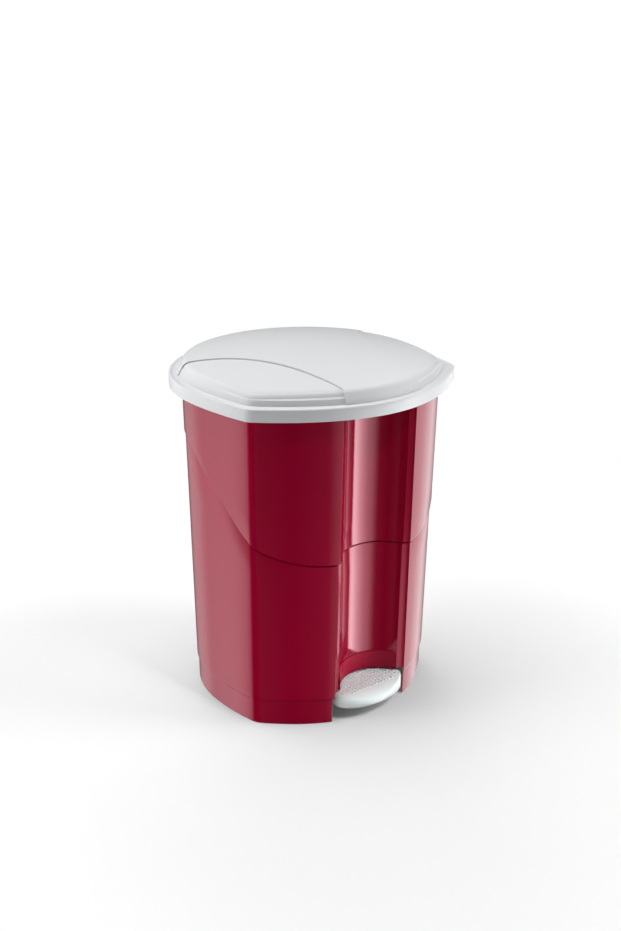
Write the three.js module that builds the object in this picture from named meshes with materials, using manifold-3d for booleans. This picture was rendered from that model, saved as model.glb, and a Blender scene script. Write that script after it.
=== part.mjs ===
// Pedal bin: a tapered plastic shell with a toe channel, a domed lid hinged at the back, a pedal
// lever under the floor, a push rod up the back wall and a lift-out bucket.
// Millimetres, +Z up, front towards -Y, the floor at z = 0.
import * as THREE from 'three';
import { mergeVertices } from 'three/addons/utils/BufferGeometryUtils.js';
import Module from 'manifold-3d';

const wasm = await Module();
wasm.setup();

// ---- driving dimensions -------------------------------------------------------------------

const GAP = 0.3; // between separate pieces that touch

// outer shell: half sizes of its plan at the floor and at the rim
const SHELL_TOP = 364;
const PLAN_HEIGHT = 360;
const PLAN_FOOT = { corner: 121.8, front: 133, sag: 60.2, side: 131.7, back: 125.4 };
const PLAN_RIM = { corner: 126.2, front: 140.6, sag: 60.4, side: 135.3, back: 134.5 };
const CORNER_ROUND = 5;
const SKIN_UPPER = 0.8; // skin offsets from the plan, above the wave, below it and at the plinth
const SKIN_LOWER = -0.5;
const SKIN_PLINTH = -2;
const PLINTH_HEIGHT = 30;
const SHELL_INSIDE = -2.6;
const FLANGE = { low: 361, outside: 7, inside: -2.6 };
const FLOOR = { low: 46.4, top: 49 };

// wave line round the shell
const WAVE_LOW = 194.5;
const WAVE_RISE = 112;
const WAVE_FRONT = -127;
const WAVE_LENGTH = 180;
const WAVE_STEP = 1.4;

// toe channel down the front
const CHANNEL = { radius: 47.3, back: -94.2, lean: -0.0143, edge: 49, landDepth: 2.5 };
const TOE_PANEL = { low: 35.5, top: 57, foot: 1.8, head: 0.8, halfAngle: 62 };
const PEDAL_OPENING = { halfWidth: 48, top: 35.5, back: -60 };

// lid
const RIM = { low: 360, top: 373.3, outside: 14.4, wall: 2.2, edge: 1.8 };
const DOME = { height: 401, crown: 0.00082, foot: 4.2, ridge: -3.2, wall: 2.5 };
const PANEL_RISE = 1.4; // middle panel of the lid above the side panels
const PANEL_EDGE = { start: [44, -134], bend: [62, 0], end: [134, 50] };
const LID_REST = SHELL_TOP + GAP;

// hinge at the back
const HINGE = { y: 146, z: 369.5, pin: 2, knuckle: 6.5, barrel: 6, lug: 21, armIn: 22, armOut: 34 };
const HINGE_NOTCH = 40;
const PIN_CAP = { length: 3.4, radius: 4, skin: 0.8 };
const BRACKET = { low: 336, top: 358, halfWidth: 34, skin: 4.1 };
const SCREW = { x: 15, z: 347, shank: 1.6, head: 3.5, headHeight: 2.2, length: 9 };

// push rod
const ROD = { radius: 2, lowY: 112, highY: 126, jogLow: 248, jogHigh: 290, foot: 20.6, top: 353.7 };
const LIFT_BAR = { y: 126, z: 362, radius: 4, halfWidth: 11, web: 3, webTop: 385.3 };
const ROD_CAP = { low: 349.5, halfX: 6.5, halfY: 5 };
const ROD_FOOT = { radius: 5, centre: 23, top: 31 };
const ROD_HOLE = 8;
const GUIDES = { rod_guide_lower: 150, rod_guide_upper: 332 };

// pedal
const PIVOT = { y: -36, z: 18, pin: 2.5, boss: 8 };
const PEDAL = { top: 32.5, plate: 3, skirt: 18, halfWidth: 45.5, front: -142, sideY: -118, back: -72 };
const PEDAL_ROLL = { start: -123, depth: 19 };
const PEDAL_SCREWS = [-112, -92];
const LEVER_FRONT_TOP = PEDAL.top - PEDAL.plate - GAP;
const LEVER = { halfWidth: 12, wall: 2.5, end: 117.4, padTop: 17.7, low: 8 };
const LUG = { inside: 12.6, thickness: 4.5, halfLength: 9, low: 8.5 };
const AXLE_CLIP = { start: 17.5, thickness: 1.6, radius: 5.4 };
const STUD = { pitchX: 6.4, pitchY: 5.6, radius: 1.7, height: 1 };

// bucket and bail
const BUCKET = { y: 6, low: FLOOR.top + GAP, top: 352, wall: 2.2 };
const BUCKET_FOOT = { a: 101, b: 88 };
const BUCKET_RIM = { a: 113, b: 96, lip: 3.4, lipHeight: 3.4 };
const BAIL = {
  z: 355.5, wire: 2, halfSpan: 124.6, hookEnd: 112.5, reach: 94, rise: 6.5, straight: 38, bend: 64,
};
const EAR = { inner: 111.3, outer: 119.7, halfLength: 8, low: 341, top: 361.5 };
const GRIP = { halfLength: 34, radius: 6.5 };

// ---- colours ------------------------------------------------------------------------------

const finish = (color, roughness, metalness = 0) => () =>
  new THREE.MeshStandardMaterial({ color, roughness, metalness });
const redPlastic = finish(0x8a0a2e, 0.18);
const whitePlastic = finish(0xdcdee0, 0.3);
const greyPlastic = finish(0x6d7073, 0.45);
const steel = finish(0xb4b7ba, 0.3, 0.9);

// ---- solids: closed meshes in, closed meshes out -------------------------------------------

function toSolid(geometry) {
  const bare = geometry.clone();
  bare.deleteAttribute('normal');
  bare.deleteAttribute('uv');
  const merged = mergeVertices(bare, 1e-4);
  return new wasm.Manifold(new wasm.Mesh({
    numProp: 3,
    vertProperties: new Float32Array(merged.attributes.position.array),
    triVerts: new Uint32Array(merged.index.array),
  }));
}

function toGeometry(solid) {
  const mesh = solid.getMesh();
  const geometry = new THREE.BufferGeometry();
  geometry.setAttribute('position', new THREE.BufferAttribute(new Float32Array(mesh.vertProperties), 3));
  geometry.setIndex(new THREE.BufferAttribute(new Uint32Array(mesh.triVerts), 1));
  const flat = geometry.toNonIndexed();
  flat.computeVertexNormals();
  return flat;
}

const join = (first, ...rest) => rest.reduce((sum, solid) => sum.add(solid), first);
const cut = (first, ...rest) => rest.reduce((left, solid) => left.subtract(solid), first);

// A skin through rings of points that all run anticlockwise seen from above, closed by a flat
// cap at each end.
function loft(rings) {
  const count = rings[0].length;
  const positions = rings.flat().flatMap((p) => [p.x, p.y, p.z]);
  const faces = [];
  for (let r = 0; r < rings.length - 1; r += 1) {
    for (let i = 0; i < count; i += 1) {
      const j = (i + 1) % count;
      const [a, b] = [r * count + i, r * count + j];
      faces.push(a, b, b + count, a, b + count, a + count);
    }
  }
  const capOf = (ring) => THREE.ShapeUtils.triangulateShape(ring.map((p) => new THREE.Vector2(p.x, p.y)), []);
  const last = (rings.length - 1) * count;
  for (const [a, b, c] of capOf(rings[0])) faces.push(a, c, b);
  for (const [a, b, c] of capOf(rings.at(-1))) faces.push(last + a, last + b, last + c);
  const geometry = new THREE.BufferGeometry();
  geometry.setAttribute('position', new THREE.BufferAttribute(new Float32Array(positions), 3));
  geometry.setIndex(faces);
  return toSolid(geometry);
}

function box(x0, x1, y0, y1, z0, z1) {
  const geometry = new THREE.BoxGeometry(x1 - x0, y1 - y0, z1 - z0);
  return toSolid(geometry.translate((x0 + x1) / 2, (y0 + y1) / 2, (z0 + z1) / 2));
}

// Cylinder along X from x0 to x1.
function barX(radius, x0, x1, y, z, sides = 24) {
  const geometry = new THREE.CylinderGeometry(radius, radius, x1 - x0, sides);
  return toSolid(geometry.rotateZ(Math.PI / 2).translate((x0 + x1) / 2, y, z));
}

// Cylinder along Y from y0 to y1.
function barY(radius, y0, y1, x, z, sides = 24) {
  const geometry = new THREE.CylinderGeometry(radius, radius, y1 - y0, sides);
  return toSolid(geometry.translate(x, (y0 + y1) / 2, z));
}

// Cylinder along Z from z0 to z1.
function barZ(radius, z0, z1, x, y, sides = 24) {
  const geometry = new THREE.CylinderGeometry(radius, radius, z1 - z0, sides);
  return toSolid(geometry.rotateX(Math.PI / 2).translate(x, y, (z0 + z1) / 2));
}

// Outline of [y, z] points, extruded along X from x0 to x1.
function slabX(points, x0, x1) {
  const shape = new THREE.Shape(points.map(([y, z]) => new THREE.Vector2(y, z)));
  const geometry = new THREE.ExtrudeGeometry(shape, { depth: x1 - x0, bevelEnabled: false });
  const stand = new THREE.Matrix4().makeBasis(
    new THREE.Vector3(0, 1, 0), new THREE.Vector3(0, 0, 1), new THREE.Vector3(1, 0, 0));
  return toSolid(geometry.applyMatrix4(stand).translate(x0, 0, 0));
}

// Outline of [x, y] points, extruded along Z from z0 to z1.
function slabZ(points, z0, z1) {
  const shape = new THREE.Shape(points.map(([x, y]) => new THREE.Vector2(x, y)));
  const geometry = new THREE.ExtrudeGeometry(shape, { depth: z1 - z0, bevelEnabled: false });
  return toSolid(geometry.translate(0, 0, z0));
}

// Round wire along a curve.
function wire(curve, radius, steps) {
  const shape = new THREE.Shape().absarc(0, 0, radius, 0, 2 * Math.PI);
  return new THREE.ExtrudeGeometry(shape, { steps, curveSegments: 5, extrudePath: curve });
}

// ---- the plan of the shell -----------------------------------------------------------------

const mix = THREE.MathUtils.lerp;
const steps = (from, to, count) => Array.from({ length: count }, (_, i) => mix(from, to, (i + 1) / count));

// Plan at height z, grown outwards by d: a bowed front, corners, side facets, a rounded back.
function planAt(z, d) {
  const t = z / PLAN_HEIGHT;
  const size = (key) => mix(PLAN_FOOT[key], PLAN_RIM[key], t);
  return {
    corner: size('corner') + 0.8 * d,
    front: size('front') + d,
    sag: size('sag') + 0.15 * d,
    side: size('side') + d,
    back: size('back') + d,
  };
}

const frontY = (plan, x) => -plan.front + plan.sag * (x / plan.corner) ** 2;

// Right half of the plan from x = startX on the front to the middle of the back.
function halfPlan(plan, startX) {
  const cornerY = frontY(plan, plan.corner);
  const sideX = (y) => plan.side - (plan.side - plan.corner) * (y / cornerY) ** 2;
  const frontEnd = plan.corner - CORNER_ROUND;
  const sideStart = cornerY + CORNER_ROUND;
  const points = [[startX, frontY(plan, startX)]];
  for (const x of steps(startX, frontEnd, 7)) points.push([x, frontY(plan, x)]);
  const turn = new THREE.QuadraticBezierCurve(
    new THREE.Vector2(frontEnd, frontY(plan, frontEnd)),
    new THREE.Vector2(plan.corner, cornerY),
    new THREE.Vector2(sideX(sideStart), sideStart));
  for (const t of steps(0, 1, 3)) points.push(turn.getPoint(t).toArray());
  for (const y of steps(sideStart, 0, 4)) points.push([sideX(y), y]);
  for (const a of steps(0, Math.PI / 2, 10)) points.push([plan.side * Math.cos(a), plan.back * Math.sin(a)]);
  return points;
}

function mirrored(half) {
  const left = half.slice(0, -1).reverse().map(([x, y]) => [-x, y]);
  return half[0][0] === 0 ? [...half, ...left.slice(0, -1)] : [...half, ...left];
}

const fullPlan = (z, d) => mirrored(halfPlan(planAt(z, d), 0));

// Middle of the channel's round wall at height z, and its radius when the skin moves by d.
const channelCentre = (z) => CHANNEL.back + CHANNEL.lean * z - CHANNEL.radius;

// Plan with the toe channel: round wall, narrow land, step out to the front column.
function channelPlan(z, d) {
  const plan = planAt(z, d);
  const centre = channelCentre(z);
  const radius = CHANNEL.radius - d;
  const edge = CHANNEL.edge - d;
  const landY = frontY(plan, edge) + CHANNEL.landDepth;
  const landX = Math.sqrt(radius ** 2 - (landY - centre) ** 2);
  const reach = Math.asin(landX / radius);
  const half = [[0, centre + radius]];
  for (const a of steps(0, reach, 7)) half.push([radius * Math.sin(a), centre + radius * Math.cos(a)]);
  half.push([edge - 0.8, landY]);
  return mirrored([...half, ...halfPlan(plan, edge)]);
}

// Outline of [x, y] points raised to a height, or to a height that varies over the plan.
const heightAt = (z, x, y) => (typeof z === 'function' ? z(x, y) : z);
const lift = (points, z) => points.map(([x, y]) => new THREE.Vector3(x, y, heightAt(z, x, y)));

// Height of the wave line at a point of the outline.
function waveHeight(x, y) {
  if (Math.abs(x) < CHANNEL.edge + 1 && y < 0) return WAVE_LOW;
  const t = THREE.MathUtils.clamp((y - WAVE_FRONT) / WAVE_LENGTH, 0, 1);
  return WAVE_LOW + WAVE_RISE * t * t * (3 - 2 * t);
}

// Ring of the skin that follows the wave line, raised by dz.
function waveRing(d, dz) {
  return channelPlan(WAVE_LOW, d).map(([x, y], i) => {
    const z = waveHeight(x, y) + dz;
    const [px, py] = channelPlan(z, d)[i];
    return new THREE.Vector3(px, py, z);
  });
}

// ---- outer shell ---------------------------------------------------------------------------

function shellBlank() {
  return loft([
    lift(channelPlan(0, SKIN_PLINTH), 0),
    lift(channelPlan(PLINTH_HEIGHT, SKIN_PLINTH), PLINTH_HEIGHT),
    lift(channelPlan(PLINTH_HEIGHT, SKIN_LOWER), PLINTH_HEIGHT + 1.2),
    waveRing(SKIN_LOWER, 0),
    waveRing(SKIN_UPPER, WAVE_STEP),
    lift(channelPlan(SHELL_TOP, SKIN_UPPER), SHELL_TOP),
  ]);
}

// Roughened panel on the channel wall just above the pedal.
function toePanel() {
  const sector = (z, d) => {
    const [centre, radius] = [channelCentre(z), CHANNEL.radius - d];
    const reach = THREE.MathUtils.degToRad(TOE_PANEL.halfAngle);
    return [-reach, ...steps(-reach, reach, 16)]
      .map((a) => [radius * Math.sin(a), centre + radius * Math.cos(a)]);
  };
  const ring = (z, d) => lift([...sector(z, d), ...sector(z, SHELL_INSIDE / 2).reverse()], z);
  return loft([ring(TOE_PANEL.low, TOE_PANEL.foot), ring(TOE_PANEL.top - 1, TOE_PANEL.head),
    ring(TOE_PANEL.top, 0)]);
}

// Lug under the floor that holds one end of the pedal axle.
function axleLug(side) {
  const x = [side * LUG.inside, side * (LUG.inside + LUG.thickness)].sort((a, b) => a - b);
  const { y, z } = PIVOT;
  const outline = [
    [y - LUG.halfLength, FLOOR.top - 1], [y - LUG.halfLength, z], [y - LUG.halfLength + 4, LUG.low],
    [y + LUG.halfLength - 4, LUG.low], [y + LUG.halfLength, z], [y + LUG.halfLength, FLOOR.top - 1],
  ];
  return cut(slabX(outline, ...x), barX(PIVOT.pin + GAP, x[0] - 1, x[1] + 1, y, z));
}

const screwHole = (side, from, to, radius) => barY(radius, from, to, side * SCREW.x, SCREW.z, 16);

function outerBody() {
  const inside = loft([
    lift(channelPlan(FLOOR.top, SHELL_INSIDE), FLOOR.top),
    lift(channelPlan(SHELL_TOP + 2, SHELL_INSIDE), SHELL_TOP + 2),
  ]);
  const underside = loft([
    lift(channelPlan(-1, SKIN_PLINTH - 2.4), -1),
    lift(channelPlan(FLOOR.low, SHELL_INSIDE), FLOOR.low),
  ]);
  const opening = box(-PEDAL_OPENING.halfWidth, PEDAL_OPENING.halfWidth, -160, PEDAL_OPENING.back,
    -1, PEDAL_OPENING.top);
  const flange = cut(
    loft([lift(fullPlan(FLANGE.low, FLANGE.outside), FLANGE.low),
      lift(fullPlan(SHELL_TOP, FLANGE.outside), SHELL_TOP)]),
    inside);
  const bosses = [-1, 1].map((side) => screwHole(side, 124, 133, 4.5));
  const shell = cut(shellBlank(), inside, underside);
  return cut(
    join(shell, flange, toePanel(), axleLug(-1), axleLug(1), ...bosses),
    opening,
    ...[-1, 1].map((side) => screwHole(side, 120, 140, SCREW.shank + GAP)),
    barZ(ROD_HOLE, FLOOR.low - 1, FLOOR.top + 1, 0, ROD.lowY));
}

// ---- lid -----------------------------------------------------------------------------------

const domeHeight = (x, y, rise) => DOME.height - PANEL_RISE + rise - DOME.crown * (x * x + y * y);

// Solid dome whose skin is moved out by d and up by rise.
function dome(low, d, rise) {
  const ridge = fullPlan(RIM.top, DOME.ridge + d);
  const shrink = (s) => ridge.map(([x, y]) => [x * s, y * s]);
  const top = (x, y) => domeHeight(x, y, rise);
  return loft([
    lift(fullPlan(RIM.top, DOME.foot + d), low),
    lift(fullPlan(RIM.top, DOME.foot + d), RIM.top),
    lift(fullPlan(RIM.top, DOME.ridge + 1.6 + d), (x, y) => top(x, y) - 2.4),
    lift(ridge, (x, y) => top(x, y) - 0.4),
    ...[0.86, 0.64, 0.36].map((s) => lift(shrink(s), top)),
    lift(shrink(0.08), domeHeight(0, 0, rise)),
  ]);
}

// Column of the lid's middle panel, between its two curved edges.
function middlePanel() {
  const edge = new THREE.QuadraticBezierCurve(
    ...[PANEL_EDGE.start, PANEL_EDGE.bend, PANEL_EDGE.end].map(([x, y]) => new THREE.Vector2(x, y)));
  const right = edge.getPoints(12).map((p) => p.toArray());
  const outline = [[right[0][0], -170], ...right, [170, 65], [170, 170]];
  const left = outline.map(([x, y]) => [-x, y]).reverse();
  return slabZ([...outline, ...left], RIM.top + 0.5, 420);
}

function lid() {
  const skirt = loft([
    lift(fullPlan(RIM.low, RIM.outside), RIM.low),
    lift(fullPlan(RIM.top, RIM.outside), RIM.top - RIM.edge),
    lift(fullPlan(RIM.top, RIM.outside - 0.5), RIM.top - 0.5),
    lift(fullPlan(RIM.top, RIM.outside - RIM.edge), RIM.top),
  ]);
  const underRim = loft([
    lift(fullPlan(RIM.low, RIM.outside - RIM.wall), RIM.low - 1),
    lift(fullPlan(RIM.top, RIM.outside - RIM.wall), RIM.top - RIM.wall),
  ]);
  const raised = dome(RIM.top - 1, 1.2, PANEL_RISE).intersect(middlePanel());
  const hollow = dome(RIM.low - 2, -DOME.wall, -DOME.wall + 0.2);
  const supportRing = loft([
    lift(fullPlan(RIM.top, DOME.foot), LID_REST),
    lift(fullPlan(RIM.top, DOME.foot), RIM.top - 1),
  ]);
  const shell = cut(join(cut(skirt, underRim), dome(RIM.top - RIM.wall, 0, 0), raised, supportRing), hollow);
  const notch = box(-HINGE_NOTCH, HINGE_NOTCH, HINGE.y - 7, 160, RIM.low - 1, RIM.top + 0.1);
  const barrel = barX(HINGE.barrel, -HINGE.lug, HINGE.lug, HINGE.y, HINGE.z);
  const tongue = box(-HINGE.lug, HINGE.lug, HINGE.y - 9, HINGE.y, HINGE.z - 3, HINGE.z + 4);
  const { y, z, radius, halfWidth, web, webTop } = LIFT_BAR;
  const liftBar = barX(radius, -halfWidth, halfWidth, y, z, 20);
  const webs = [-halfWidth, halfWidth - web].map((x) => box(x, x + web, y - radius, y + radius, z, webTop));
  const pinHole = barX(HINGE.pin + GAP, -HINGE.lug - 1, HINGE.lug + 1, HINGE.y, HINGE.z, 16);
  return cut(join(cut(shell, notch), barrel, tongue, liftBar, ...webs), pinHole);
}

// ---- hinge ---------------------------------------------------------------------------------

function hingeBracket() {
  const ringZ = [BRACKET.low, BRACKET.top];
  const plate = loft(ringZ.map((z) => lift(fullPlan(z, BRACKET.skin), z)))
    .intersect(box(-BRACKET.halfWidth, BRACKET.halfWidth, 100, 160, 300, 365));
  const { y, z, knuckle } = HINGE;
  const arc = steps(-0.35, Math.PI - 0.1, 12)
    .map((a) => [y + knuckle * Math.cos(a), z + knuckle * Math.sin(a)]);
  const outline = [[125, BRACKET.low], [137, BRACKET.low], [150, 356], ...arc, [140, z - 2], [140, 357.5],
    [125, 357.5]];
  const spans = [[-HINGE.armOut, -HINGE.armIn], [HINGE.armIn, HINGE.armOut]];
  const arms = spans.map((span) => slabX(outline, ...span));
  const bodySkin = loft([BRACKET.low - 5, SHELL_TOP].map((h) => lift(fullPlan(h, SKIN_UPPER + GAP), h)));
  const flangeSpace = loft([FLANGE.low - GAP, SHELL_TOP + GAP].map((h) =>
    lift(fullPlan(h, FLANGE.outside + 0.6), h)));
  return cut(
    join(plate, ...arms),
    bodySkin,
    flangeSpace,
    barX(HINGE.pin + GAP, -40, 40, y, z, 16),
    ...[-1, 1].map((side) => screwHole(side, 120, 150, SCREW.shank + GAP)));
}

// Screw along -Y, its head on the bracket.
function bracketScrew(side) {
  const plan = planAt(SCREW.z, BRACKET.skin);
  const seat = plan.back * Math.sqrt(1 - (SCREW.x / plan.side) ** 2) + GAP + 0.5;
  const shank = screwHole(side, seat - SCREW.length, seat + 1, SCREW.shank);
  const head = screwHole(side, seat, seat + SCREW.headHeight, SCREW.head);
  const x = side * SCREW.x;
  const slot = box(x - 0.5, x + 0.5, seat + 1.2, seat + 5, SCREW.z - 2.4, SCREW.z + 2.4);
  return cut(join(shank, head), slot);
}

const hingePin = () => barX(HINGE.pin, -36.2, 36.2, HINGE.y, HINGE.z, 16);

const spanX = (side, from, to) => [side * from, side * to].sort((a, b) => a - b);

// Cap on one end of the hinge pin, open towards the middle.
function pinCap(side) {
  const start = HINGE.armOut + GAP;
  const { length, radius, skin } = PIN_CAP;
  return cut(
    barX(radius, ...spanX(side, start, start + length), HINGE.y, HINGE.z),
    barX(HINGE.pin + GAP, ...spanX(side, start - 1, start + length - skin), HINGE.y, HINGE.z, 16));
}

// ---- push rod ------------------------------------------------------------------------------

function rodCurve() {
  const point = (y, z) => new THREE.Vector3(0, y, z);
  const path = new THREE.CurvePath();
  const corners = [point(ROD.lowY, ROD.jogLow), point(ROD.highY, ROD.jogHigh)];
  const ease = corners[1].clone().sub(corners[0]).setLength(10);
  const up = new THREE.Vector3(0, 0, 10);
  const bend = (corner, before, after) => new THREE.QuadraticBezierCurve3(
    corner.clone().sub(before), corner, corner.clone().add(after));
  const bends = [bend(corners[0], up, ease), bend(corners[1], ease, up)];
  path.add(new THREE.LineCurve3(point(ROD.lowY, ROD.foot), bends[0].v0));
  path.add(bends[0]);
  path.add(new THREE.LineCurve3(bends[0].v2, bends[1].v0));
  path.add(bends[1]);
  path.add(new THREE.LineCurve3(bends[1].v2, point(ROD.highY, ROD.top)));
  return path;
}

function rodFoot() {
  const { radius, centre, top } = ROD_FOOT;
  const bore = ROD.radius + GAP;
  const ball = steps(-Math.PI / 2, 0, 6).map((a) => [radius * Math.cos(a), centre + radius * Math.sin(a)]);
  const profile = [[0, centre - radius], ...ball, [radius, top - 1], [radius - 1, top], [bore, top],
    [bore, ROD.foot - GAP], [0, ROD.foot - GAP]];
  return new THREE.LatheGeometry(profile.map(([r, z]) => new THREE.Vector2(r, z)), 24)
    .rotateX(Math.PI / 2).translate(0, ROD.lowY, 0);
}

function rodCap() {
  const { low, halfX, halfY } = ROD_CAP;
  const top = LIFT_BAR.z - LIFT_BAR.radius - GAP;
  const corner = 1.5;
  const plan = [[-halfX + corner, -halfY], [halfX - corner, -halfY], [halfX, -halfY + corner],
    [halfX, halfY - corner], [halfX - corner, halfY], [-halfX + corner, halfY], [-halfX, halfY - corner],
    [-halfX, -halfY + corner]].map(([x, y]) => [x, y + ROD.highY]);
  return cut(slabZ(plan, low, top), barZ(ROD.radius + GAP, low - 1, ROD.top + GAP, 0, ROD.highY, 16));
}

// Guide on the inside of the back wall, round the rod at height z.
function rodGuide(z) {
  const y = z < ROD.jogLow ? ROD.lowY : ROD.highY;
  const wallY = planAt(z, SHELL_INSIDE).back - GAP;
  const stem = box(-5, 5, y, wallY + 2, z - 5, z + 5);
  const wall = loft([z - 20, z + 20].map((h) => lift(channelPlan(h, SHELL_INSIDE - GAP), h)));
  const eye = barZ(5, z - 5, z + 5, 0, y, 24);
  const foot = box(-12, 12, wallY - 2.4, wallY + 2, z - 9, z + 9);
  return cut(join(stem, eye, foot).intersect(wall), barZ(ROD.radius + GAP, z - 8, z + 8, 0, y, 16));
}

// ---- pedal ---------------------------------------------------------------------------------

// Right half of the foot plate's outline, pulled in by d.
function platePoints(d) {
  const { halfWidth, front, sideY, back } = PEDAL;
  const points = [];
  for (const a of [0, ...steps(0, Math.PI / 2, 12)]) {
    points.push([(halfWidth - d) * Math.sin(a), sideY + (front - sideY + d) * Math.cos(a)]);
  }
  for (const a of steps(0, Math.PI / 2, 8)) {
    points.push([(halfWidth - d) * Math.cos(a) ** 0.8, sideY + (back - sideY - d) * Math.sin(a) ** 0.8]);
  }
  return points;
}

// Height of the plate's top: flat, then rolling down to the front.
function plateTop(y) {
  const t = THREE.MathUtils.clamp((PEDAL_ROLL.start - y) / PEDAL_ROLL.depth, 0, 1);
  return PEDAL.top - 11 * (1 - Math.sqrt(1 - t * t));
}

function plateBlank(d, low, drop) {
  const outline = mirrored(platePoints(d));
  const middle = [0, PEDAL.sideY];
  const shrink = (s) => outline.map(([x, y]) => [mix(middle[0], x, s), mix(middle[1], y, s)]);
  const top = (x, y) => plateTop(y) - drop;
  return loft([
    lift(outline, low),
    lift(outline, (x, y) => top(x, y) - 1.5),
    lift(shrink(0.975), (x, y) => top(x, y) - 0.4),
    ...[0.9, 0.72, 0.45].map((s) => lift(shrink(s), top)),
    lift(shrink(0.06), PEDAL.top - drop),
  ]);
}

function studs() {
  const { pitchX, pitchY, radius, height } = STUD;
  const rows = [];
  for (let row = 0; row < 5; row += 1) {
    const y = -99 - row * pitchY;
    for (let k = -6; k <= 6; k += 1) {
      const x = (k + (row % 2) / 2) * pitchX;
      const inside = (x / (PEDAL.halfWidth - 6)) ** 2 + ((y - PEDAL.sideY) / 26) ** 2 < 1;
      if (inside) rows.push(new THREE.ConeGeometry(radius, 2 * height, 6).rotateX(Math.PI / 2)
        .translate(x, y, PEDAL.top));
    }
  }
  return rows.map(toSolid);
}

function pedalPlate() {
  const hollow = plateBlank(PEDAL.plate, PEDAL.skirt - 2, PEDAL.plate);
  const backOpening = box(-LEVER.halfWidth - 1, LEVER.halfWidth + 1, -90, -60, PEDAL.skirt - 2,
    PEDAL.top - PEDAL.plate);
  return cut(join(cut(plateBlank(0, PEDAL.skirt, 0), hollow, backOpening), ...studs()),
    ...PEDAL_SCREWS.map((y) => barZ(1.8, PEDAL.top - 12, PEDAL.top - 1.2, 0, y, 12)));
}

function pedalLever() {
  const { y, z, boss } = PIVOT;
  const { halfWidth, wall, end, padTop, low } = LEVER;
  const outline = [[-124, 22], [-118, 18], [-70, 12], [y - 8, low], [end - 4, low + 1], [end, low + 4],
    [end, padTop], [96, padTop], [40, 22], [y + 14, 26], [y - 14, 27], [-66, LEVER_FRONT_TOP],
    [-124, LEVER_FRONT_TOP]];
  const arm = slabX(outline, -halfWidth, halfWidth);
  const inner = halfWidth - wall;
  const channels = [
    slabX([[-120, 0], [y - boss - 2, 0], [y - boss - 2, 22], [-66, 25], [-120, 25]], -inner, inner),
    slabX([[y + boss + 2, 0], [94, 0], [94, 15], [40, 18.5], [y + boss + 2, 22]], -inner, inner),
  ];
  const hub = barX(boss, -halfWidth, halfWidth, y, z);
  return cut(join(cut(arm, ...channels), hub),
    barX(PIVOT.pin + GAP, -20, 20, y, z, 20),
    ...PEDAL_SCREWS.map((spot) => barZ(1.8, 10, 40, 0, spot, 12)));
}

// Screw up through the lever into the foot plate.
function pedalScrew(y) {
  const seat = 25 - GAP;
  return join(barZ(1.4, seat - 0.5, PEDAL.top - 2, 0, y, 12), barZ(3, seat - 2.2, seat, 0, y, 16));
}

// Retaining washer on one end of the axle.
function axleClip(side) {
  const { start, thickness, radius } = AXLE_CLIP;
  return cut(
    barX(radius, ...spanX(side, start, start + thickness), PIVOT.y, PIVOT.z),
    barX(PIVOT.pin + GAP, ...spanX(side, start - 1, start + thickness + 1), PIVOT.y, PIVOT.z, 16));
}

const pedalAxle = () => barX(PIVOT.pin, -18.8, 18.8, PIVOT.y, PIVOT.z, 20);

// ---- bucket and bail -----------------------------------------------------------------------

function ellipse(a, b, count = 44) {
  return Array.from({ length: count }, (_, i) => {
    const t = (2 * Math.PI * i) / count;
    return [a * Math.sin(t), BUCKET.y - b * Math.cos(t)];
  });
}

function bucketRing(z, d) {
  const t = (z - BUCKET.low) / (BUCKET.top - BUCKET.low);
  return lift(ellipse(mix(BUCKET_FOOT.a, BUCKET_RIM.a, t) + d, mix(BUCKET_FOOT.b, BUCKET_RIM.b, t) + d), z);
}

function innerBucket() {
  const { low, top, wall } = BUCKET;
  const { lip, lipHeight } = BUCKET_RIM;
  const blank = loft([bucketRing(low, -3), bucketRing(low + 3, 0), bucketRing(top - lipHeight, 0),
    bucketRing(top - lipHeight + 0.6, lip), bucketRing(top - 0.8, lip), bucketRing(top, lip - 0.8)]);
  const inside = loft([bucketRing(low + wall, -wall - 3), bucketRing(low + wall + 3, -wall),
    bucketRing(top + 1, -wall)]);
  const { y } = BUCKET;
  const [l, h] = [EAR.halfLength, EAR.top];
  const outline = [[y - l, EAR.low], [y + l, EAR.low], [y + l, h - 5], [y + l - 4, h], [y - l + 4, h],
    [y - l, h - 5]];
  const ears = [slabX(outline, EAR.inner, EAR.outer), slabX(outline, -EAR.outer, -EAR.inner)];
  return cut(join(cut(blank, inside), ...ears), barX(BAIL.wire + GAP, -130, 130, BUCKET.y, BAIL.z, 16));
}

// Wire bail: hooks through the ears, runs round the rim and straight across the front.
function bailCurve() {
  const { z, halfSpan, hookEnd, reach, rise, straight, bend } = BAIL;
  const at = (x, forward) => new THREE.Vector3(x, BUCKET.y - forward, z + (rise * forward) / reach);
  const half = (s) => ({
    tip: at(s * hookEnd, 0),
    hook: at(s * (halfSpan - 3), 0),
    elbow: at(s * halfSpan, 0),
    arm: at(s * halfSpan, 6),
    shoulder: at(s * halfSpan, bend),
    cheek: at(s * (straight + 42), reach),
    front: at(s * straight, reach),
  });
  const [l, r] = [half(-1), half(1)];
  const path = new THREE.CurvePath();
  path.add(new THREE.LineCurve3(l.tip, l.hook));
  path.add(new THREE.QuadraticBezierCurve3(l.hook, l.elbow, l.arm));
  path.add(new THREE.CubicBezierCurve3(l.arm, l.shoulder, l.cheek, l.front));
  path.add(new THREE.LineCurve3(l.front, r.front));
  path.add(new THREE.CubicBezierCurve3(r.front, r.cheek, r.shoulder, r.arm));
  path.add(new THREE.QuadraticBezierCurve3(r.arm, r.elbow, r.hook));
  path.add(new THREE.LineCurve3(r.hook, r.tip));
  return path;
}

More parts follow.
